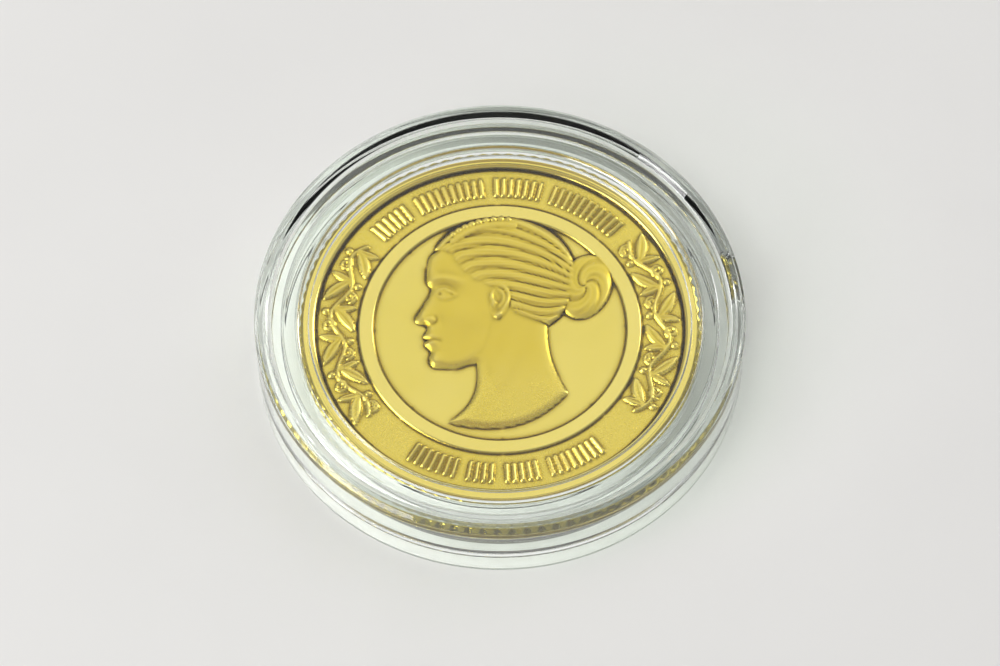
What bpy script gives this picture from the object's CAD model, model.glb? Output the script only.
import bpy
import numpy as np
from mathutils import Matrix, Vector


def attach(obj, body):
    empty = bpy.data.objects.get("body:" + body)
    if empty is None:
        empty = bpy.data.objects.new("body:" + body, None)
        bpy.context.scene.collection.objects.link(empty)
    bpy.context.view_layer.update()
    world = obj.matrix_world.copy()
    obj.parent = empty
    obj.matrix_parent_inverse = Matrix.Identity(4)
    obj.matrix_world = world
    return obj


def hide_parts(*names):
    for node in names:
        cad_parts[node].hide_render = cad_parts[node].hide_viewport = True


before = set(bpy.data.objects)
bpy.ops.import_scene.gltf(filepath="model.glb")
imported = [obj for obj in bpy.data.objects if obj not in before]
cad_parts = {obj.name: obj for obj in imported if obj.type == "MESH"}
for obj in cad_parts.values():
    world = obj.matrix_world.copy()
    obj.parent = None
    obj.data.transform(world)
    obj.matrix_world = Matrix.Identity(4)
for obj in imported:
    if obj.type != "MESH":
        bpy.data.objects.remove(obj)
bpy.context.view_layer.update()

# Shapes are worked out in millimetres and put into the meshes in metres.
MM = 0.001

# Coin blank
COIN_RADIUS = 13.5
COIN_THICKNESS = 2.0
SEAT = 1.5  # height of the coin's underside in the capsule
FIELD_DEPTH = 0.35
FIELD_RADIUS = 12.4
RIM_INNER = 12.55
RIM_OUTER = 13.22
RIM_DISH = 0.11
REED_COUNT = 96
REED_DEPTH = 0.12
REED_SAMPLES = 11

# Relief on the portrait side
MEDALLION_RADIUS = 8.5
BAND_OUTER = 9.6
BAND_HEIGHT = 0.12
BAND_SLOPE = 0.12
BAND_START = MEDALLION_RADIUS + BAND_SLOPE  # the ring's flat top
BAND_END = BAND_OUTER - BAND_SLOPE
BORDER_RELIEF = 0.17
BORDER_MIDDLE = (BAND_OUTER + FIELD_RADIUS) / 2
BORDER_WIDTH = FIELD_RADIUS - BAND_OUTER
STROKE_HALF_LENGTH = 0.75
STROKE_HALF_WIDTH = 0.15
STROKE_PITCH = 2.6  # degrees
STROKE_ROWS = ((137, (6, 10, 7, 11)), (305, (8, 5, 4, 7)))  # first angle, strokes in each word
SCROLL_MIDDLES = (180, 0)
SCROLL_HALF_SPAN = 36  # degrees
SCROLL_WAVES = 3
SCROLL_SWAY = 0.17 * BORDER_WIDTH
STEM_HALF_WIDTH = 0.15
LEAF_WIDTH = 0.8
LEAFLET_WIDTH = 0.55
BERRY_RADIUS = 0.26
TENDRIL_HALF_WIDTH = 0.1
TENDRIL_RADIUS = 0.46
TENDRIL_SHRINK = 0.32  # how much smaller the radius is at the inner end
TENDRIL_TURN = 500  # degrees

# Relief on the plain side
PETALS = 10
PETAL_HALF_WIDTH = 1.3
BOSS_HEIGHT = 0.24
BOSS_SHARE = 0.18  # of the medallion's radius

# Marks that the gold's material reads, from 0 to 1
FROST_HEIGHTS = (0.02, 0.07)  # carving rises from mirror to frost between these
LOW_FROST_LOSS = 0.4  # share of frost lost towards the foot of the portrait
BORDER_FROST = 0.5
BORDER_HOLLOW = 0.55
SMOOTH_ROUNDS = 7  # neighbours this far away count as a point's surroundings
FULL_HOLLOW = 0.045  # depth under the surroundings
FULL_CREST = 0.05  # height over the surroundings
STEEP = (0.1, 0.5)  # a slope darkens like a hollow between these
CARVED_STEEP = 0.6
REED_HOLLOW = 0.6
POLISH = 0.8  # crest of the plain ring and the rims

# The head's layout: heights from 0 at the chin to 1 at the crown, depths from 0 at the forehead
HEAD = 1.36 * MEDALLION_RADIUS
CHIN_Y = -0.36 * MEDALLION_RADIUS
FOREHEAD_X = -0.56 * MEDALLION_RADIUS
HAIRLINE = 0.86
BROW = 2 / 3 * HAIRLINE
NOSE_BASE = HAIRLINE / 3
MOUTH = 2 / 3 * NOSE_BASE
SKULL_MIDDLE = (0.425, 0.6)
SKULL_REACH = (0.43, 0.4)
SKULL_FRONT = 152  # degrees round the skull's oval
SKULL_NAPE = -52
KNOT_MIDDLE = (0.915, 0.53)
KNOT_HALF = (0.22, 0.15)
KNOT_TURN = 74
DIADEM_FIRST = 80  # degrees round the skull's oval
DIADEM_SPAN = 54
DIADEM_BEADS = 9
STRANDS = 60
STRAND_SPREAD = 0.16
LOCKS = 8
HAIRS = 26


# Curves and distances


def on_head(depth, height):
    return np.array([FOREHEAD_X + depth * HEAD, CHIN_Y + height * HEAD])


def on_skull(angle, grow=0.0):
    """A point on the skull's oval: its middle plus its reach times the cosine and the sine."""
    a = np.radians(angle)
    reach = np.array(SKULL_REACH) + grow
    return on_head(*(np.array(SKULL_MIDDLE) + reach * (np.cos(a), np.sin(a))))


def skull_arc(first, last, steps, grow=0.0):
    return np.array([on_skull(a, grow) for a in np.linspace(first, last, steps + 1)])


def smooth(points, steps=8):
    """Catmull-Rom curve: on each stretch a cubic whose end slopes are half the step between the
    neighbours."""
    p = np.array(points, float)
    p = np.vstack([p[:1], p, p[-1:]])
    t = np.linspace(0, 1, steps, endpoint=False)[:, None]
    runs = [
        b + 0.5 * t * ((c - a) + t * ((2 * a - 5 * b + 4 * c - d) + t * (3 * b - a - 3 * c + d)))
        for a, b, c, d in zip(p[:-3], p[1:-2], p[2:-1], p[3:])
    ]
    return np.vstack([*runs, p[-1:]])


def bow(first, pull, last, steps=12):
    """Quadratic bend: the three points weighted by (1-t)^2, 2t(1-t) and t^2."""
    t = np.linspace(0, 1, steps + 1)[:, None]
    return (1 - t) ** 2 * first + 2 * t * (1 - t) * pull + t**2 * last


def head_curve(points):
    return smooth([on_head(*p) for p in points])


def nearest(path, x, y):
    """Distance from each point to a path, and the share of the path's length at the nearest
    place. On each straight run the foot of the perpendicular is held between the ends."""
    runs = np.linalg.norm(np.diff(path, axis=0), axis=1)
    start = np.concatenate([[0], np.cumsum(runs)])
    best = np.full(x.shape, np.inf)
    along = np.zeros(x.shape)
    for (ax, ay), (bx, by), length, s in zip(path[:-1], path[1:], runs, start):
        if length == 0:
            continue
        ux, uy = (bx - ax) / length, (by - ay) / length
        t = np.clip((x - ax) * ux + (y - ay) * uy, 0, length)
        d = np.hypot(x - ax - t * ux, y - ay - t * uy)
        nearer = d < best
        best = np.where(nearer, d, best)
        along = np.where(nearer, (s + t) / start[-1], along)
    return best, along


def depth_inside(path, x, y):
    """How far each point is inside a closed outline: the distance to it, negative outside, where
    an odd count of edges crossed on the way out to the right means inside."""
    odd = np.zeros(x.shape, bool)
    for (ax, ay), (bx, by) in zip(path, np.roll(path, -1, axis=0)):
        if ay != by:
            odd ^= ((ay > y) != (by > y)) & (x < (bx - ax) * (y - ay) / (by - ay) + ax)
    d, _ = nearest(np.vstack([path, path[:1]]), x, y)
    return np.where(odd, d, -d)


def shoulder(d, width):
    """A quarter round: 0 at the outline, 1 at a width inside it."""
    t = np.clip(d / width, 0, 1)
    return np.sqrt(1 - (1 - t) ** 2)


def ramp(d, low, high):
    """A soft step from 0 at low to 1 at high, 3t^2 - 2t^3."""
    t = np.clip((d - low) / (high - low), 0, 1)
    return t * t * (3 - 2 * t)


def oval(x, y, middle, half, turn=0.0):
    """Place along and across a turned oval in units of its half axes, and the distance from its
    middle, which is 1 on its edge."""
    a = np.radians(turn)
    dx, dy = x - middle[0], y - middle[1]
    u = (dx * np.cos(a) + dy * np.sin(a)) / half[0]
    v = (dy * np.cos(a) - dx * np.sin(a)) / half[1]
    return u, v, np.hypot(u, v)


def head_oval(x, y, middle, half, turn=0.0):
    return oval(x, y, on_head(*middle), (half[0] * HEAD, half[1] * HEAD), turn)


def mound(x, y, middle, half, turn=0.0):
    """A soft bell exp(-1.5 q^2) over an oval."""
    return np.exp(-1.5 * head_oval(x, y, middle, half, turn)[2] ** 2)


def cap(q):
    """A half ellipsoid: the root of 1 - q^2 inside its edge."""
    return np.sqrt(np.clip(1 - q * q, 0, None))


def ridge(x, y, points, width, taper=0.5):
    """A soft ridge exp(-(d/width)^2) along a curve on the head, dying away at both ends."""
    d, s = nearest(head_curve(points), x, y)
    ends = ramp(s, 0, 0.25) * ramp(1 - s, 0, 0.25)
    return np.exp(-((d / (width * HEAD)) ** 2)) * (1 - taper + taper * ends)


def soft_max(a, b, softness):
    """The larger of two heights, with the crease between them rounded over a softness."""
    h = np.clip(0.5 + 0.5 * (a - b) / softness, 0, 1)
    return a * h + b * (1 - h) + softness * h * (1 - h)


# Outlines of the bust

PROFILE = [
    (0.0, HAIRLINE - 0.13), (-0.014, BROW + 0.012), (0.012, BROW - 0.05),
    (-0.03, (BROW + NOSE_BASE) / 2), (-0.078, NOSE_BASE + 0.062), (-0.086, NOSE_BASE + 0.035),
    (-0.066, NOSE_BASE + 0.012), (-0.016, NOSE_BASE - 0.002), (-0.022, MOUTH + 0.055),
    (-0.038, MOUTH + 0.027), (-0.03, MOUTH + 0.01), (-0.016, MOUTH), (-0.029, MOUTH - 0.012),
    (-0.03, MOUTH - 0.034), (-0.008, MOUTH - 0.06), (0.004, MOUTH / 2 + 0.012),
    (-0.006, MOUTH / 3 + 0.005), (0.008, 0.022), (0.06, 0.0),
]
JAW = [(0.16, -0.002), (0.27, 0.05), (0.345, 0.14), (0.385, 0.26), (0.42, 0.4)]
HAIR_FRONT = [(0.12, 0.75), (0.165, 0.665), (0.25, 0.575), (0.35, 0.525), (0.45, 0.47), (0.49, 0.36)]
HAIR_OVER_SKULL = 0.015


def bust_outline():
    face = smooth([on_skull(SKULL_FRONT), *(on_head(*p) for p in PROFILE), on_head(0.27, 0.03)])
    front, back, nape = on_head(0.09, -0.35), on_head(0.8, -0.17), on_skull(SKULL_NAPE)
    return np.vstack([
        face[:-1],
        bow(face[-1], on_head(0.3, -0.24), front)[:-1],
        bow(front, on_head(0.52, -0.5), back)[:-1],
        bow(back, on_head(0.67, 0.04), nape)[:-1],
        skull_arc(SKULL_NAPE, SKULL_FRONT, 40)[:-1],
    ])


def face_outline():
    face = smooth([on_skull(SKULL_FRONT), *(on_head(*p) for p in PROFILE + JAW)])
    return np.vstack([face, skull_arc(-10, SKULL_FRONT, 30)[:-1]])


def hair_outline():
    first, last = on_skull(SKULL_FRONT, HAIR_OVER_SKULL), on_skull(SKULL_NAPE, HAIR_OVER_SKULL)
    line = smooth([first, *(on_head(*p) for p in HAIR_FRONT), last])
    return np.vstack([line[:-1], skull_arc(SKULL_NAPE, SKULL_FRONT, 40, HAIR_OVER_SKULL)[:-1]])


# Relief of the portrait, as heights in millimetres above the field


def neck_relief(x, y):
    d = depth_inside(bust_outline(), x, y)
    z = 0.12 * shoulder(d, 0.6) + 0.06 * shoulder(d, 3.0)
    z = z + 0.035 * ridge(x, y, [(0.5, 0.2), (0.42, 0.0), (0.3, -0.2), (0.22, -0.3)], 0.05)
    z = z - 0.02 * mound(x, y, (0.35, -0.05), (0.05, 0.15), 20)
    return np.where(d > 0, z, 0)


def face_relief(x, y):
    """A rounded plate with soft bells for cheek, brow, chin and nose wing, and fine ridges and
    grooves for eye, nostril and lips."""
    d = depth_inside(face_outline(), x, y)
    z = 0.15 * shoulder(d, 0.7) + 0.07 * shoulder(d, 3.2)
    for depth, middle, half, turn in (
        (0.05, (0.2, 0.36), (0.13, 0.1), 20),
        (-0.075, (0.1, 0.5), (0.1, 0.055), -5),
        (0.035, (0.03, 0.05), (0.06, 0.05), 0),
        (-0.03, (0.02, 0.118), (0.05, 0.02), -10),
        (-0.02, (0.2, 0.18), (0.1, 0.08), 30),
        (0.03, (-0.04, 0.36), (0.03, 0.08), 25),
        (-0.02, (0.07, 0.33), (0.03, 0.07), 20),
        (0.02, (0.05, 0.75), (0.1, 0.1), 0),
        (0.045, (-0.005, 0.215), (0.045, 0.02), -14),
        (0.045, (0.0, 0.166), (0.04, 0.022), 12),
        (-0.02, (0.065, 0.18), (0.016, 0.02), 0),
    ):
        z = z + depth * mound(x, y, middle, half, turn)
    for depth, width, points in (
        (0.05, 0.024, [(0.0, 0.585), (0.09, 0.602), (0.19, 0.572)]),
        (0.075, 0.011, [(0.035, 0.497), (0.06, 0.52), (0.1, 0.524), (0.155, 0.49)]),
        (0.04, 0.01, [(0.045, 0.478), (0.09, 0.459), (0.145, 0.482)]),
        (-0.05, 0.011, [(0.04, 0.538), (0.09, 0.552), (0.155, 0.525)]),
        (-0.035, 0.009, [(0.035, 0.35), (0.045, 0.32), (0.025, 0.292)]),
        (-0.05, 0.008, [(-0.02, 0.192), (0.015, 0.194), (0.055, 0.184)]),
    ):
        z = z + depth * ridge(x, y, points, width)
    for depth, middle, half, turn in (
        (0.08, (0.088, 0.491), (0.044, 0.028), 4),
        (-0.05, (0.064, 0.492), (0.013, 0.014), 0),
        (0.05, (0.004, 0.32), (0.032, 0.028), 20),
        (-0.04, (-0.028, 0.305), (0.016, 0.007), 10),
    ):
        z = z + depth * cap(head_oval(x, y, middle, half, turn)[2])
    return np.where(d > 0, np.maximum(z, 0) * shoulder(d, 0.35), 0)


def with_ear(x, y, body):
    """A low oval with a rim that curls from the front over the top and down to the lobe, a second
    fold inside it and a hollow before the fold."""
    q = head_oval(x, y, (0.412, 0.435), (0.125, 0.07), 78)[2]
    rim = [(0.39, 0.43), (0.366, 0.462), (0.366, 0.51), (0.398, 0.545), (0.44, 0.538), (0.466, 0.495),
           (0.46, 0.44), (0.436, 0.39), (0.412, 0.35)]
    fold = [(0.405, 0.518), (0.434, 0.488), (0.436, 0.445), (0.414, 0.405)]
    ear = 0.2 + 0.1 * ridge(x, y, rim, 0.012, 0.3) + 0.06 * ridge(x, y, fold, 0.01)
    ear = ear + 0.09 * mound(x, y, (0.398, 0.338), (0.027, 0.03))
    ear = ear + 0.07 * mound(x, y, (0.372, 0.418), (0.013, 0.024))
    ear = ear - 0.09 * mound(x, y, (0.4, 0.452), (0.018, 0.034))
    return np.where(q < 1, soft_max(ear * shoulder(1 - q, 0.2), body, 0.015), body)


def lock_line(t, steps=30):
    """The path of one strand: t runs from 0 over the crown to 1 at the nape."""
    first = on_head(0.06 + 0.42 * t, 0.9 - 0.5 * t)
    last = on_head(0.84 - 0.03 * t, 0.7 - 0.34 * t)
    rise = (0.2 * max(1 - t, 0) ** 1.2 - 0.045) * HEAD
    run = last - first
    side = np.array([-run[1], run[0]]) / np.linalg.norm(run)
    return bow(first, (first + last) / 2 + 2 * rise * side, last, steps)


def hair_flow(x, y):
    """Which strand each point lies on and how far along it, as means over points of the strands
    weighted by a bell of their distance."""
    total = np.full(x.shape, 1e-12)
    across = np.zeros(x.shape)
    along = np.zeros(x.shape)
    for t in np.linspace(-0.12, 1.12, STRANDS):
        line = lock_line(t)
        for u, (px, py) in zip(np.linspace(0, 1, len(line)), line):
            w = np.exp(-((x - px) ** 2 + (y - py) ** 2) / (2 * STRAND_SPREAD**2))
            total += w
            across += w * t
            along += w * u
    return across / total, along / total


def hair_relief(x, y):
    """Locks as rounded waves across the strands, with fine hairs over them."""
    d = depth_inside(hair_outline(), x, y)
    across, along = hair_flow(x, y)
    lock = np.abs(np.sin(np.pi * (LOCKS * across + 0.12 * np.sin(7 * along)))) ** 0.7
    hairs = np.sin(2 * np.pi * (HAIRS * across + 0.5 * np.sin(5 * along + 9 * across)))
    z = 0.16 * shoulder(d, 0.4) + 0.05 * shoulder(d, 2.6) + 0.07 * lock + 0.013 * hairs
    return np.where(d > 0, z * shoulder(d, 0.25), 0)


def knot_relief(x, y):
    """A half ellipsoid with coils, which are waves of three times the angle plus the radius."""
    u, v, q = head_oval(x, y, KNOT_MIDDLE, KNOT_HALF, KNOT_TURN)
    phase = 3 * np.arctan2(v, u) + 7.5 * q
    coils = 0.07 * np.abs(np.sin(0.5 * phase)) ** 0.7 + 0.01 * np.sin(3 * phase)
    return np.where(q < 1, 0.2 * cap(q) ** 0.7 + coils * shoulder(1 - q, 0.4), 0)


def with_diadem(x, y, body):
    """A half-round band over the crown, with a row of beads that are largest in the middle."""
    first, last = DIADEM_FIRST - 2, DIADEM_FIRST + DIADEM_SPAN + 2
    d, _ = nearest(smooth(skull_arc(first, last, 10, -0.046)), x, y)
    half_width = 0.022 * HEAD
    band = 0.24 + 0.06 * cap(d / half_width)
    body = np.where(d < half_width, np.maximum(body, band), body)
    for i in range(DIADEM_BEADS):
        share = (i + 0.5) / DIADEM_BEADS
        middle = on_skull(DIADEM_FIRST + DIADEM_SPAN * share, -0.009)
        radius = 0.02 * HEAD * (1 + 0.2 * np.cos(np.pi * (share - 0.5)))
        q = np.hypot(x - middle[0], y - middle[1]) / radius
        body = np.where(q < 1, np.maximum(body, 0.13 + 0.2 * cap(q)), body)
    return body


def portrait_relief(x, y):
    body = soft_max(face_relief(x, y), neck_relief(x, y), 0.03)
    hair = hair_relief(x, y)
    body = np.where(hair > 0, soft_max(hair, body, 0.01), body)
    body = with_ear(x, y, body)
    knot = knot_relief(x, y)
    body = np.where(knot > 0, soft_max(knot, body, 0.01), body)
    return with_diadem(x, y, body)


# Relief of the border


def polar(angle, radius):
    a = np.radians(angle)
    return np.array([np.cos(a), np.sin(a)]).T * np.asarray(radius)[..., None]


def stroke_rows(x, y):
    """Plain rounded radial bars in two rows, grouped like words."""
    z = np.zeros(x.shape)
    for angle, words in STROKE_ROWS:
        for count in words:
            for _ in range(count):
                a = np.radians(angle)
                out = np.abs(x * np.cos(a) + y * np.sin(a) - BORDER_MIDDLE)
                side = np.abs(y * np.cos(a) - x * np.sin(a))
                d = np.minimum(STROKE_HALF_LENGTH - out, STROKE_HALF_WIDTH - side)
                z = np.maximum(z, BORDER_RELIEF * shoulder(d, 0.13))
                angle -= STROKE_PITCH
            angle -= STROKE_PITCH
    return z


def leaf_relief(x, y, first, last, bow_by, width):
    """A pointed leaf: full along a bowed midrib, dying away to its two edges, with a fine rib."""
    run = last - first
    side = np.array([-run[1], run[0]]) / np.linalg.norm(run)
    d, s = nearest(bow(first, (first + last) / 2 + 2 * bow_by * side, last, 14), x, y)
    half = 0.5 * width * np.sin(np.pi * np.clip(s, 0, 1)) ** 0.8 + 1e-6
    z = BORDER_RELIEF * shoulder(1 - d / half, 0.45) - 0.05 * np.exp(-((d / 0.06) ** 2))
    return np.where(d < half, z, 0)


def scroll_relief(x, y, middle):
    """A stem whose radius waves as a sine of the angle. In turn on either side stand a leaf with a
    leaflet, and across from them a berry and a tendril, whose radius shrinks as it winds."""

    def place(t, radius):
        return polar(middle + SCROLL_HALF_SPAN * (2 * t - 1), radius)

    def stem_radius(t):
        return BORDER_MIDDLE + SCROLL_SWAY * np.sin(2 * np.pi * SCROLL_WAVES * t)

    t = np.linspace(0, 1, 25 * SCROLL_WAVES)
    d, _ = nearest(place(t, stem_radius(t)), x, y)
    z = BORDER_RELIEF * cap(d / STEM_HALF_WIDTH)
    leaves = 2 * SCROLL_WAVES
    for i in range(leaves):
        t = (i + 0.25) / leaves
        away = 1 if i % 2 else -1
        root = place(t, stem_radius(t))
        tip = place(t + 0.13, BORDER_MIDDLE + 0.4 * BORDER_WIDTH * away)
        leaf = leaf_relief(x, y, root, tip, -0.15 * away, LEAF_WIDTH)
        tip = place(t - 0.02, BORDER_MIDDLE + 0.42 * BORDER_WIDTH * away)
        leaflet = leaf_relief(x, y, root, tip, 0.08 * away, LEAFLET_WIDTH)
        berry = place(t + 0.02, BORDER_MIDDLE - 0.3 * BORDER_WIDTH * away)
        bead = BORDER_RELIEF * cap(np.hypot(x - berry[0], y - berry[1]) / BERRY_RADIUS)
        middle_of_curl = place(t + 0.09, BORDER_MIDDLE - 0.2 * BORDER_WIDTH * away)
        wind = np.linspace(0, 1, 30)
        start = middle + 90 * away
        shrinking = TENDRIL_RADIUS - TENDRIL_SHRINK * wind
        curl = middle_of_curl + polar(start + TENDRIL_TURN * wind * away, shrinking)
        tendril = 0.8 * BORDER_RELIEF * cap(nearest(curl, x, y)[0] / TENDRIL_HALF_WIDTH)
        z = np.maximum.reduce([z, leaf, leaflet, bead, tendril])
    return z


# The coin


def plain_side(r):
    """Height of the plain ring and the rim over the field, by the distance from the middle. The
    rim is slightly dished: it falls evenly from its outer edge to its inner one."""
    ring = ramp(r, MEDALLION_RADIUS, BAND_START)
    ring = BAND_HEIGHT * ring * ramp(BAND_OUTER - r, 0, BAND_SLOPE)
    dish = RIM_DISH * np.clip((RIM_OUTER - r) / (RIM_OUTER - RIM_INNER), 0, 1)
    return ring + (FIELD_DEPTH - dish) * ramp(r, FIELD_RADIUS, RIM_INNER)


def portrait_side(x, y):
    """Carving over the field: the portrait inside the plain ring and the border outside it."""
    r = np.hypot(x, y)
    z = np.zeros(r.shape)
    inside = r < MEDALLION_RADIUS + 0.8
    z[inside] = portrait_relief(x[inside], y[inside])
    ring = (r > BAND_OUTER - 0.2) & (r < RIM_INNER)
    xr, yr = x[ring], y[ring]
    scrolls = [scroll_relief(xr, yr, middle) for middle in SCROLL_MIDDLES]
    z[ring] = np.maximum.reduce([z[ring], stroke_rows(xr, yr), *scrolls])
    return z


def rosette_side(x, y):
    """Petals and a boss: each petal is full on its middle line and dies away to its edges."""
    r = np.hypot(x, y) / MEDALLION_RADIUS
    turn = np.arctan2(y, x)
    off = np.abs((turn / (2 * np.pi) * PETALS + 0.5) % 1 - 0.5)
    off = off * 2 * np.pi / PETALS * r * MEDALLION_RADIUS
    share = np.clip((r - 0.25) / 0.6, 0, 1)
    half = PETAL_HALF_WIDTH * np.sin(np.pi * share) ** 0.8 + 1e-6
    petal = BORDER_RELIEF * shoulder(1 - off / half, 0.5) - 0.04 * np.exp(-((off / 0.09) ** 2))
    petal = np.where((off < half) & (share > 0) & (share < 1), petal, 0)
    return np.maximum(petal, BOSS_HEIGHT * cap(r / BOSS_SHARE))


def ring_places(stops):
    """Ring radii, evenly spaced between stops given as (radius, rings up to it)."""
    radii, at = [], 0.0
    for radius, rings in stops:
        radii.append(at + (radius - at) * np.arange(1, rings + 1) / rings)
        at = radius
    return np.concatenate(radii)


def side_radii(medallion_rings, band_rings, border_rings):
    """Ring radii of one side, close together on the slopes of the plain ring and of the rim."""
    return ring_places([
        (MEDALLION_RADIUS, medallion_rings), (BAND_START, 2), (BAND_START + 0.05, 1),
        (BAND_END - 0.05, band_rings), (BAND_END, 1), (BAND_OUTER, 2),
        (FIELD_RADIUS, border_rings), (RIM_INNER, 3), (RIM_OUTER, 4),
    ])


def ring_disc(radii):
    """A disc of rings round a middle point. Ring k holds 8k points, evenly round, and its first
    point has the index 1 + 4k(k-1). Every sector of an eighth has k steps on ring k and k + 1 on
    the next, which the triangles join in turn."""
    rings = len(radii)
    ks = np.arange(1, rings + 1)
    k = np.repeat(ks, 8 * ks)
    m = np.arange(len(k)) - 4 * k * (k - 1)
    angle = 2 * np.pi * m / (8 * k)
    flat = np.vstack([[0, 0], (radii[k - 1] * [np.cos(angle), np.sin(angle)]).T])

    def index(ring, step):
        return np.where(ring > 0, 1 + 4 * ring * (ring - 1) + step % np.maximum(8 * ring, 1), 0)

    outer, inner = k - 1, k[k < rings]
    sector, j = m // k, m % k
    wide = np.array([index(outer, sector * outer + j), index(k, m), index(k, m + 1)]).T
    step = m[k < rings]
    beyond = step // inner * (inner + 1) + step % inner + 1
    narrow = np.array([index(inner, step), index(inner + 1, beyond), index(inner, step + 1)]).T
    return flat, np.vstack([wide, narrow])


def band_faces(upper, lower):
    """Triangles between two closed rows of points with the same count, facing outwards."""
    up, low = np.roll(upper, -1), np.roll(lower, -1)
    return np.vstack([np.array([upper, lower, low]).T, np.array([upper, low, up]).T])


def halving_faces(upper, lower):
    """Triangles from a closed row to one with half as many points."""
    a, b, c = upper[0::2], upper[1::2], np.roll(upper, -2)[0::2]
    low = np.roll(lower, -1)
    return np.vstack([np.array([a, lower, b]).T, np.array([b, lower, low]).T, np.array([b, low, c]).T])


def edge_rows(count):
    """Rows round the coin's edge: a quarter round from the rim, the reeded wall and a quarter
    round back. Reeds are rounded lobes, the root of a raised cosine, that fade at the rounds."""
    around = np.arange(count)
    lobes = (0.5 + 0.5 * np.cos(2 * np.pi * around / REED_SAMPLES)) ** 0.5
    root = COIN_RADIUS - REED_DEPTH
    turn = np.radians([25, 50, 75, 90])
    radius = RIM_OUTER + (root - RIM_OUTER) * np.sin(turn)
    drop = (root - RIM_OUTER) * (1 - np.cos(turn))
    fade = np.array([0, 0.15, 0.6, 1])
    radius, fade = np.r_[radius, radius[::-1]], np.r_[fade, fade[::-1]]
    height = np.r_[COIN_THICKNESS - drop, drop[::-1]]
    out = radius[:, None] + REED_DEPTH * fade[:, None] * lobes
    angle = 2 * np.pi * around / count
    upright = np.broadcast_to(height[:, None], out.shape)
    return np.dstack([out * np.cos(angle), out * np.sin(angle), upright])


def neighbour_mean(values, faces, rounds):
    """Each point's value replaced by the mean of its neighbours along the edges, over and over."""
    here, there = faces.ravel(), np.roll(faces, -1, axis=1).ravel()
    count = np.bincount(here)
    for _ in range(rounds):
        values = np.bincount(here, values[there]) / count
    return values


def steepness(points, faces):
    """How far each point's surface turns from level: 1 less the upright part of the mean normal of
    the faces round it."""
    a, b, c = points[faces].transpose(1, 0, 2)
    across = np.cross(b - a, c - a)
    total = [np.bincount(faces.ravel(), np.repeat(part, 3)) for part in across.T]
    return 1 - np.abs(total[2]) / np.linalg.norm(total, axis=0)


def new_piece(name, points, faces, material, node, attributes=None):
    """A closed mesh from points in millimetres and faces of equal size, standing for a CAD node."""
    mesh = bpy.data.meshes.new(name)
    mesh.vertices.add(len(points))
    mesh.vertices.foreach_set("co", (points * MM).astype(np.float32).ravel())
    mesh.loops.add(faces.size)
    mesh.loops.foreach_set("vertex_index", faces.astype(np.int32).ravel())
    mesh.polygons.add(len(faces))
    starts = np.arange(0, faces.size, faces.shape[1], dtype=np.int32)
    mesh.polygons.foreach_set("loop_start", starts)
    mesh.update(calc_edges=True)
    mesh.shade_smooth()
    for key, values in (attributes or {}).items():
        mesh.attributes.new(key, "FLOAT", "POINT").data.foreach_set("value", values.astype(np.float32))
    mesh.materials.append(material)
    piece = bpy.data.objects.new(name, mesh)
    bpy.context.scene.collection.objects.link(piece)
    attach(piece, "root")
    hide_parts(node)
    return piece


def make_coin(material):
    """Both struck sides as ring discs, the reverse with half the rings, joined by the reeded edge."""
    front, front_faces = ring_disc(side_radii(82, 6, 31))
    back, back_faces = ring_disc(side_radii(40, 1, 12))
    count = REED_COUNT * REED_SAMPLES

    carved = portrait_side(*front.T)
    plain = plain_side(np.hypot(*front.T))
    top = COIN_THICKNESS - FIELD_DEPTH + np.maximum(plain, carved)
    petals = rosette_side(*back.T)
    bottom = FIELD_DEPTH - np.maximum(plain_side(np.hypot(*back.T)), petals)
    rows = edge_rows(count)

    points = np.vstack([
        np.column_stack([front, top]), rows.reshape(-1, 3), np.column_stack([back, bottom]),
    ])
    first_row = len(front) - count
    under = len(front) + rows.shape[0] * count
    bands = np.arange(first_row, under).reshape(-1, count)
    last_ring = np.arange(len(points) - count // 2, len(points))
    faces = np.vstack([
        front_faces,
        *(band_faces(a, b) for a, b in zip(bands[:-1], bands[1:])),
        halving_faces(bands[-1], last_ring),
        back_faces[:, ::-1] + under,
    ])

    edge = np.zeros(rows.shape[0] * count)
    radius = np.hypot(points[:, 0], points[:, 1])
    frosted = ramp(carved, *FROST_HEIGHTS) * (1 - LOW_FROST_LOSS * ramp(-front[:, 1], 1.0, 5.0))
    away = np.hypot(*front.T)
    border = ramp(away, BAND_OUTER, BAND_OUTER + 0.1) * ramp(FIELD_RADIUS - away, 0, 0.1)
    frosted = np.maximum(frosted, BORDER_FROST * border)
    frost = np.concatenate([frosted, edge, ramp(petals, *FROST_HEIGHTS)])
    upright = np.concatenate([top, edge, -bottom])
    level = upright - neighbour_mean(upright, faces, SMOOTH_ROUNDS)
    level[len(front):under] = 0
    lobes = np.hypot(rows[..., 0], rows[..., 1]).ravel() - (COIN_RADIUS - REED_DEPTH)
    hollow = np.clip(-level / FULL_HOLLOW, 0, 1)
    slope = ramp(steepness(points, faces), *STEEP)
    slope[:len(front)][carved > plain] *= CARVED_STEEP
    hollow = np.maximum(hollow, slope)
    hollow[(radius > BAND_OUTER + 0.12) & (radius < FIELD_RADIUS - 0.12)] *= BORDER_HOLLOW
    hollow[(radius > BAND_START + 0.04) & (radius < BAND_END - 0.04)] = 0
    hollow[radius > RIM_INNER + 0.05] = 0
    hollow[len(front):under] = REED_HOLLOW * np.clip(1 - lobes / (0.5 * REED_DEPTH), 0, 1)
    crest = np.clip(level / FULL_CREST, 0, 1)
    on_band = (radius > BAND_START) & (radius < BAND_END)
    on_rim = (radius > RIM_INNER) & (radius < COIN_RADIUS - REED_DEPTH)
    crest[on_band | on_rim] = POLISH
    points[:, 2] += SEAT
    marks = {"frost": frost, "hollow": hollow, "crest": crest}
    return new_piece("struck_coin", points, faces, material, "coin", marks)


# The capsule

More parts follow.
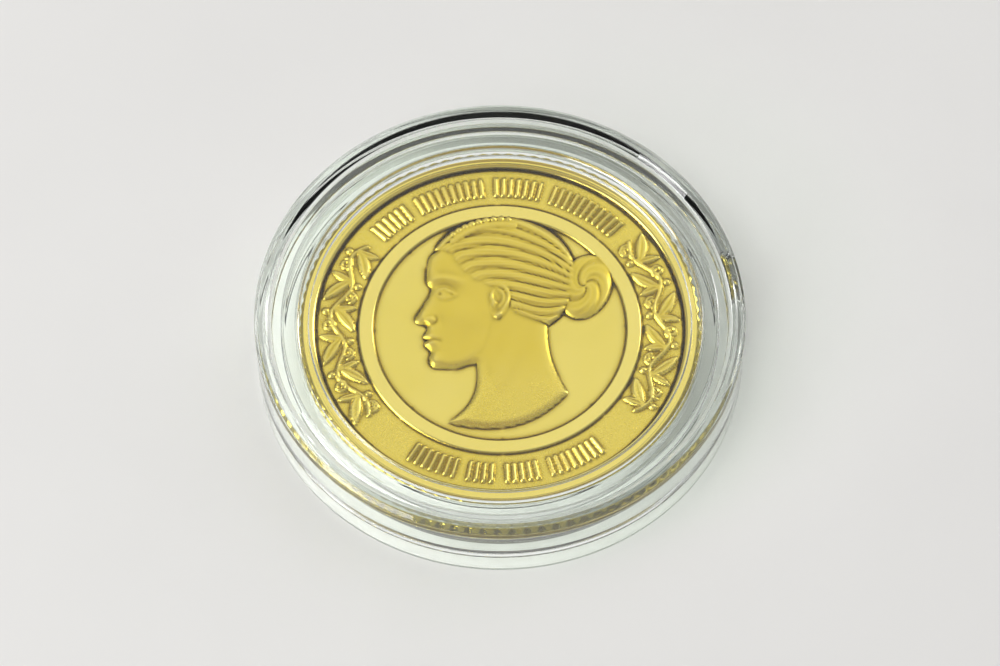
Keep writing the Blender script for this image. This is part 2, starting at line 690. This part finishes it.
CAPSULE_RADIUS = 16.5
SEAM = 2.5
NOTCH_ANGLE = 12  # degrees
NOTCH_HALF_WIDTH = 2.0
NOTCH_HALF_HEIGHT = 0.3
NOTCH_DEPTH = 0.3
WALL_INNER = 16.0
SHELL_STEPS = 360
NOTCH_EASE = (0.06, 0.3)  # height and width over which the notch runs out

# Heights and radii of the lower shell
FLOOR_UNDER = 0.4
FLOOR_TOP = 1.2
LEDGE_TOP = 1.48
LEDGE_INNER = 12.9
LOCATING_INNER = 13.77
LOCATING_OUTER = 14.6
LOCATING_TOP = 4.1
FLANGE_UNDER = 1.6

# Heights and radii of the upper shell
WINDOW_UNDER = 4.4
WINDOW_TOP = 5.2
HOLD_INNER = 12.9
HOLD_OUTER = 13.6
HOLD_UNDER = 3.8
GRIP_INNER = 14.75
GRIP_OUTER = 15.4
GRIP_UNDER = 2.6
LID_UNDER = 2.52
LID_TOP = 5.6


def rounded(profile, steps=4):
    """A profile of (radius, height, round) corners, each round one swapped for an arc with a
    short straight lead on either side, which keeps the shading of the flats flat."""
    corners = np.array([p[:2] for p in profile], float)
    points = [corners[0]]
    for i in range(1, len(profile) - 1):
        size = profile[i][2]
        before, here, after = corners[i - 1:i + 2]
        if not size:
            points.append(here)
            continue
        back = (before - here) / np.linalg.norm(before - here)
        on = (after - here) / np.linalg.norm(after - here)
        points.append(here + 1.6 * size * back)
        points.extend(bow(here + size * back, here, here + size * on, steps))
        points.append(here + 1.6 * size * on)
    return np.array([*points, corners[-1]])


def turned_shell(profile):
    """Points and faces of a profile turned about the axis, whose two ends are single poles. The
    finger notch draws the outer wall in round the seam."""
    ring = profile[1:-1]
    angle = 2 * np.pi * np.arange(SHELL_STEPS) / SHELL_STEPS
    off = (angle - np.radians(NOTCH_ANGLE) + np.pi) % (2 * np.pi) - np.pi
    window = ramp(NOTCH_HALF_WIDTH - np.abs(off) * CAPSULE_RADIUS, 0, NOTCH_EASE[1])
    inside = NOTCH_HALF_HEIGHT + NOTCH_EASE[0] - np.abs(ring[:, 1] - SEAM)
    near = ramp(inside, 0, NOTCH_EASE[0]) * (ring[:, 0] > WALL_INNER + 0.2)
    radius = ring[:, :1] - NOTCH_DEPTH * near[:, None] * window
    height = np.broadcast_to(ring[:, 1:], radius.shape)
    points = np.dstack([radius * np.cos(angle), radius * np.sin(angle), height]).reshape(-1, 3)
    points = np.vstack([points, [0, 0, profile[0, 1]], [0, 0, profile[-1, 1]]])
    rows = np.arange(len(ring) * SHELL_STEPS).reshape(len(ring), SHELL_STEPS)
    faces = [band_faces(rows[i + 1], rows[i]) for i in range(len(ring) - 1)]
    first, last = rows[0], rows[-1]
    pole = np.full(SHELL_STEPS, len(points) - 2)
    faces.append(np.array([pole, np.roll(first, -1), first]).T)
    faces.append(np.array([pole + 1, last, np.roll(last, -1)]).T)
    return points, np.vstack(faces)


def make_lower_shell(material):
    """Floor, ledge under the coin's rim, locating wall, flange and foot wall."""
    profile = rounded([
        (0, FLOOR_UNDER, 0), (LOCATING_OUTER, FLOOR_UNDER, 0.1), (LOCATING_OUTER, FLANGE_UNDER, 0.1),
        (WALL_INNER, FLANGE_UNDER, 0.1), (WALL_INNER, 0, 0.08), (CAPSULE_RADIUS, 0, 0.12),
        (CAPSULE_RADIUS, SEAM - 0.4, 0), (CAPSULE_RADIUS, SEAM - 0.3, 0),
        (CAPSULE_RADIUS, SEAM, 0.04), (LOCATING_OUTER, SEAM, 0.08),
        (LOCATING_OUTER, LOCATING_TOP, 0.1), (LOCATING_INNER, LOCATING_TOP, 0.12),
        (LOCATING_INNER, LEDGE_TOP, 0.06), (LEDGE_INNER, LEDGE_TOP, 0.06),
        (LEDGE_INNER, FLOOR_TOP, 0.06), (0, FLOOR_TOP, 0),
    ])
    points, faces = turned_shell(profile)
    return new_piece("lower_shell", points, faces, material, "capsule_base")


def make_upper_shell(material):
    """Window, raised lip, outer wall, grip ring and hold-down ring."""
    profile = rounded([
        (0, WINDOW_UNDER, 0), (HOLD_INNER, WINDOW_UNDER, 0.08), (HOLD_INNER, HOLD_UNDER, 0.1),
        (HOLD_OUTER, HOLD_UNDER, 0.1), (HOLD_OUTER, WINDOW_UNDER, 0.08),
        (GRIP_INNER, WINDOW_UNDER, 0.08), (GRIP_INNER, GRIP_UNDER, 0.1),
        (GRIP_OUTER, GRIP_UNDER, 0.1), (GRIP_OUTER, WINDOW_UNDER, 0.08),
        (WALL_INNER, WINDOW_UNDER, 0.08), (WALL_INNER, LID_UNDER, 0.04),
        (CAPSULE_RADIUS, LID_UNDER, 0.04), (CAPSULE_RADIUS, SEAM + 0.3, 0),
        (CAPSULE_RADIUS, SEAM + 0.4, 0), (CAPSULE_RADIUS, LID_TOP - 0.3, 0.05),
        (CAPSULE_RADIUS - 0.3, LID_TOP, 0.05), (15.8, LID_TOP, 0.05), (15.4, WINDOW_TOP, 0.05),
        (0, WINDOW_TOP, 0),
    ])
    points, faces = turned_shell(profile)
    return new_piece("upper_shell", points, faces, material, "capsule_lid")


# Materials

MIRROR_TONES = ((0.84, 0.67, 0.125, 1), (0.87, 0.7, 0.155, 1))
FROST_TONE = (0.77, 0.57, 0.035, 1)
HOLLOW_TONE = (0.4, 0.26, 0.008, 1)
DEEP_TONE = (0.03, 0.018, 0.001, 1)
CREST_TONE = (1.0, 0.83, 0.26, 1)


class Nodes:
    """Short hand for building a node tree: each call adds a node, sets its sockets and gives it
    back."""

    def __init__(self, tree):
        self.tree = tree
        tree.nodes.clear()

    def feed(self, socket, value):
        """Links a socket to another one or sets its constant."""
        if isinstance(value, bpy.types.NodeSocket):
            self.tree.links.new(value, socket)
        else:
            socket.default_value = value

    def add(self, kind, settings=None, **inputs):
        """A node; an input is given by its name, or by its place after an underscore."""
        node = self.tree.nodes.new(kind)
        for key, value in (settings or {}).items():
            setattr(node, key, value)
        for key, value in inputs.items():
            self.feed(node.inputs[int(key[1:]) if key[0] == "_" else key.replace("_", " ")], value)
        return node

    def math(self, operation, *values):
        node = self.add("ShaderNodeMath", {"operation": operation})
        for socket, value in zip(node.inputs, values):
            self.feed(socket, value)
        return node.outputs[0]

    def mix(self, factor, first, second):
        """A colour mix, whose colour sockets are the places 6, 7 and 2 of the node."""
        node = self.add("ShaderNodeMix", {"data_type": "RGBA"}, _0=factor, _6=first, _7=second)
        return node.outputs[2]

    def band(self, value, low, high, from_=0.0, to=1.0):
        """A value carried from low..high to from_..to and held there."""
        node = self.add("ShaderNodeMapRange", {"clamp": True}, Value=value)
        for key, number in zip(("From Min", "From Max", "To Min", "To Max"), (low, high, from_, to)):
            node.inputs[key].default_value = number
        return node.outputs[0]


def new_group(name, inputs, outputs):
    """A shader node group with sockets given as {name: (type, value)}."""
    tree = bpy.data.node_groups.new(name, "ShaderNodeTree")
    nodes = Nodes(tree)
    for key, (kind, value) in inputs.items():
        socket = tree.interface.new_socket(key, in_out="INPUT", socket_type=kind)
        if value is not None:
            socket.default_value = value
    for key, kind in outputs.items():
        tree.interface.new_socket(key, in_out="OUTPUT", socket_type=kind)
    return tree, nodes, nodes.add("NodeGroupInput"), nodes.add("NodeGroupOutput")


def hairline_group():
    """Fine straight scratches: noise drawn out along one direction, where only its crests count,
    broken up by a broad noise."""
    tree, nodes, given, out = new_group(
        "hairlines",
        {
            "Vector": ("NodeSocketVector", None),
            "Turn": ("NodeSocketFloat", 0.0),
            "Fineness": ("NodeSocketFloat", 9000.0),
            "Amount": ("NodeSocketFloat", 0.5),
        },
        {"Mask": "NodeSocketFloat"},
    )
    turned = nodes.add("ShaderNodeVectorRotate", {"rotation_type": "Z_AXIS"},
                       Vector=given.outputs["Vector"], Angle=given.outputs["Turn"])
    drawn = nodes.add("ShaderNodeVectorMath", {"operation": "MULTIPLY"},
                      _0=turned.outputs[0], _1=(0.035, 1.0, 0.2))
    lines = nodes.add("ShaderNodeTexNoise", Vector=drawn.outputs[0],
                      Scale=given.outputs["Fineness"], Detail=1.0)
    patches = nodes.add("ShaderNodeTexNoise", Vector=given.outputs["Vector"], Scale=420.0, Detail=2.0)
    crests = nodes.band(lines.outputs["Fac"], 0.62, 0.74)
    held = nodes.band(patches.outputs["Fac"], 0.48, 0.68)
    mask = nodes.math("MULTIPLY", crests, held)
    mask = nodes.math("MULTIPLY", mask, given.outputs["Amount"])
    tree.links.new(mask, out.inputs["Mask"])
    return tree


def smudge_group():
    """Broad handling marks and small specks: soft noise and thresholded cells."""
    tree, nodes, given, out = new_group(
        "smudges",
        {
            "Vector": ("NodeSocketVector", None),
            "Size": ("NodeSocketFloat", 160.0),
            "Speck Size": ("NodeSocketFloat", 2200.0),
            "Amount": ("NodeSocketFloat", 0.5),
        },
        {"Haze": "NodeSocketFloat", "Specks": "NodeSocketFloat"},
    )
    place, speck_size = given.outputs["Vector"], given.outputs["Speck Size"]
    soft = nodes.add("ShaderNodeTexNoise", Vector=place, Scale=given.outputs["Size"], Detail=4.0,
                     Distortion=0.6)
    haze = nodes.math("MULTIPLY", nodes.band(soft.outputs["Fac"], 0.42, 0.7), given.outputs["Amount"])
    cells = nodes.add("ShaderNodeTexVoronoi", Vector=place, Scale=speck_size)
    kept = nodes.add("ShaderNodeTexNoise", Vector=place, Scale=speck_size)
    dots = nodes.band(cells.outputs["Distance"], 0.14, 0.04)
    specks = nodes.math("MULTIPLY", dots, nodes.band(kept.outputs["Fac"], 0.62, 0.68))
    specks = nodes.math("MULTIPLY", specks, given.outputs["Amount"])
    tree.links.new(haze, out.inputs["Haze"])
    tree.links.new(specks, out.inputs["Specks"])
    return tree


def new_material(name):
    material = bpy.data.materials.new(name)
    material.use_nodes = True
    return material, Nodes(material.node_tree)


def object_place(nodes):
    return nodes.add("ShaderNodeTexCoord").outputs["Object"]


def gold_material(hairlines, smudges):
    """Struck gold: mirror-like fields and rims, frosted carving, deeper tone in the hollows and a
    polish on the crests."""
    material, nodes = new_material("struck_gold")
    place = object_place(nodes)
    frost = nodes.add("ShaderNodeAttribute", {"attribute_name": "frost"}).outputs["Fac"]
    hollow = nodes.add("ShaderNodeAttribute", {"attribute_name": "hollow"}).outputs["Fac"]
    crest = nodes.add("ShaderNodeAttribute", {"attribute_name": "crest"}).outputs["Fac"]
    scratch = nodes.add("ShaderNodeGroup", {"node_tree": hairlines}, Vector=place, Turn=0.7, Amount=0.6)
    crossed = nodes.add("ShaderNodeGroup", {"node_tree": hairlines}, Vector=place, Turn=2.1,
                        Fineness=7000.0, Amount=0.5)
    marks = nodes.math("MAXIMUM", scratch.outputs["Mask"], crossed.outputs["Mask"])
    handled = nodes.add("ShaderNodeGroup", {"node_tree": smudges}, Vector=place, Size=240.0, Amount=0.35)

    broad = nodes.add("ShaderNodeTexNoise", Vector=place, Scale=190.0, Detail=3.0)
    patches = nodes.band(broad.outputs["Fac"], 0.35, 0.65)
    tone = nodes.mix(patches, *MIRROR_TONES)
    tone = nodes.mix(nodes.math("MULTIPLY", frost, 0.75), tone, FROST_TONE)
    tone = nodes.mix(nodes.band(hollow, 0.0, 0.7), tone, HOLLOW_TONE)
    tone = nodes.mix(nodes.band(hollow, 0.4, 1.0), tone, DEEP_TONE)
    tone = nodes.mix(nodes.math("MULTIPLY", crest, 0.45), tone, CREST_TONE)

    grain = nodes.add("ShaderNodeTexNoise", Vector=place, Scale=9000.0, Detail=2.0)
    grained = nodes.band(grain.outputs["Fac"], 0.3, 0.7, -0.05, 0.05)
    rough = nodes.math("MULTIPLY_ADD", frost, 0.2, 0.15)
    rough = nodes.math("ADD", rough, nodes.math("MULTIPLY", grained, frost))
    rough = nodes.math("MULTIPLY_ADD", handled.outputs["Haze"], 0.08, rough)
    rough = nodes.math("MULTIPLY_ADD", marks, 0.15, rough)
    rough = nodes.math("MULTIPLY_ADD", crest, -0.05, rough)

    height = nodes.math("MULTIPLY", grain.outputs["Fac"], nodes.math("MULTIPLY_ADD", frost, 0.9, 0.1))
    height = nodes.math("MULTIPLY_ADD", marks, -0.6, height)
    bump = nodes.add("ShaderNodeBump", Strength=0.1, Distance=0.00002, Height=height)
    shader = nodes.add("ShaderNodeBsdfPrincipled", Base_Color=tone, Roughness=rough, Metallic=1.0,
                       Normal=bump.outputs[0])
    nodes.add("ShaderNodeOutputMaterial", Surface=shader.outputs[0])
    return material


def clear_material(name, turn, hairlines, smudges):
    """Clear moulded plastic with faint flow waves, hairline scratches, haze and specks. A shadow ray
    passes through it a little dimmed, as light through a thin clear wall does."""
    material, nodes = new_material(name)
    place = object_place(nodes)
    scratch = nodes.add("ShaderNodeGroup", {"node_tree": hairlines}, Vector=place, Turn=turn,
                        Fineness=6000.0, Amount=0.15)
    crossed = nodes.add("ShaderNodeGroup", {"node_tree": hairlines}, Vector=place, Turn=turn + 1.9,
                        Fineness=4500.0, Amount=0.1)
    marks = nodes.math("MAXIMUM", scratch.outputs["Mask"], crossed.outputs["Mask"])
    handled = nodes.add("ShaderNodeGroup", {"node_tree": smudges}, Vector=place, Size=130.0, Amount=0.7)
    rough = nodes.math("MULTIPLY_ADD", handled.outputs["Haze"], 0.025, 0.01)
    rough = nodes.math("MULTIPLY_ADD", marks, 0.2, rough)
    rough = nodes.math("MULTIPLY_ADD", handled.outputs["Specks"], 0.4, rough)
    tint = nodes.mix(handled.outputs["Specks"], (0.965, 0.98, 0.965, 1), (0.8, 0.8, 0.78, 1))
    waves = nodes.add("ShaderNodeTexNoise", Vector=place, Scale=150.0, Detail=1.0)
    height = nodes.math("MULTIPLY_ADD", marks, -0.05, waves.outputs["Fac"])
    bump = nodes.add("ShaderNodeBump", Strength=0.1, Distance=0.0001, Height=height)
    shader = nodes.add("ShaderNodeBsdfPrincipled", Base_Color=tint, Roughness=rough, IOR=1.49,
                       Transmission_Weight=1.0, Specular_Tint=(0.6, 0.6, 0.6, 1), Normal=bump.outputs[0])
    passing = nodes.add("ShaderNodeBsdfTransparent", Color=(0.93, 0.95, 0.93, 1))
    ray = nodes.add("ShaderNodeLightPath")
    both = nodes.add("ShaderNodeMixShader", Fac=ray.outputs["Is Shadow Ray"], _1=shader.outputs[0],
                     _2=passing.outputs[0])
    nodes.add("ShaderNodeOutputMaterial", Surface=both.outputs[0])
    return material


def floor_material():
    material, nodes = new_material("pale_floor")
    place = object_place(nodes)
    soft = nodes.add("ShaderNodeTexNoise", Vector=place, Scale=60.0, Detail=5.0)
    tone = nodes.mix(soft.outputs["Fac"], (0.72, 0.715, 0.70, 1), (0.77, 0.765, 0.75, 1))
    bump = nodes.add("ShaderNodeBump", Strength=0.1, Distance=0.0002, Height=soft.outputs["Fac"])
    shader = nodes.add("ShaderNodeBsdfPrincipled", Base_Color=tone, Roughness=0.7,
                       Normal=bump.outputs[0])
    nodes.add("ShaderNodeOutputMaterial", Surface=shader.outputs[0])
    return material


# Floor, light and camera


def make_floor():
    half = 3.0  # metres
    corners = [(-half, -half, 0), (half, -half, 0), (half, half, 0), (-half, half, 0)]
    mesh = bpy.data.meshes.new("floor")
    mesh.from_pydata(corners, [], [(0, 1, 2, 3)])
    mesh.materials.append(floor_material())
    floor = bpy.data.objects.new("floor", mesh)
    bpy.context.scene.collection.objects.link(floor)


def aim(thing, place, target):
    thing.location = place
    thing.rotation_euler = (Vector(target) - Vector(place)).to_track_quat("-Z", "Y").to_euler()
    bpy.context.scene.collection.objects.link(thing)


def make_softbox(name, place, size, radiance):
    """An area light aimed at the coin. Its power is pi times its area times its radiance."""
    light = bpy.data.lights.new(name, "AREA")
    light.shape = "RECTANGLE"
    light.size, light.size_y = size
    light.energy = np.pi * size[0] * size[1] * radiance
    aim(bpy.data.objects.new(name, light), place, (0, 0, 0.003))


def make_sky():
    """Grey light all round: pale in a strip at the horizon, dim above it, brighter higher up and
    slightly warm straight overhead."""
    world = bpy.data.worlds.new("studio")
    bpy.context.scene.world = world
    world.use_nodes = True
    nodes = Nodes(world.node_tree)
    way = nodes.add("ShaderNodeTexCoord").outputs["Generated"]
    height = nodes.add("ShaderNodeSeparateXYZ", Vector=way).outputs["Z"]
    colour = nodes.mix(nodes.band(height, 0.0, 0.55), (0.24, 0.24, 0.245, 1), (0.42, 0.42, 0.42, 1))
    colour = nodes.mix(nodes.band(height, 0.02, 0.1), (0.5, 0.5, 0.49, 1), colour)
    colour = nodes.mix(nodes.band(height, 0.94, 0.965), colour, (0.42, 0.36, 0.32, 1))
    sky = nodes.add("ShaderNodeBackground", Color=colour, Strength=1.0)
    nodes.add("ShaderNodeOutputWorld", Surface=sky.outputs[0])


def make_camera():
    """The photograph's camera place, a long lens bringing the capsule close."""
    camera = bpy.data.cameras.new("camera")
    camera.sensor_width = 36
    camera.lens = 180
    camera.clip_start = 0.01
    camera.clip_end = 20
    holder = bpy.data.objects.new("camera", camera)
    aim(holder, (-0.0034, -0.1631, 0.2987), (0, 0, 0.0028))
    bpy.context.scene.camera = holder


hairlines = hairline_group()
smudges = smudge_group()
make_coin(gold_material(hairlines, smudges))
make_lower_shell(clear_material("clear_base", 0.4, hairlines, smudges))
make_upper_shell(clear_material("clear_lid", 1.2, hairlines, smudges))

make_floor()
make_sky()
make_softbox("far_softbox", (0.03, 0.42, 0.52), (0.6, 0.5), 0.55)
make_softbox("left_softbox", (-0.5, -0.1, 0.42), (0.3, 0.42), 4.5)
make_softbox("right_strip", (0.42, 0.3, 0.3), (0.12, 0.4), 5.0)
make_softbox("low_lamp", (-0.45, -0.31, 0.22), (0.5, 0.09), 15.0)
make_camera()
bpy.context.scene.view_settings.view_transform = "Standard"
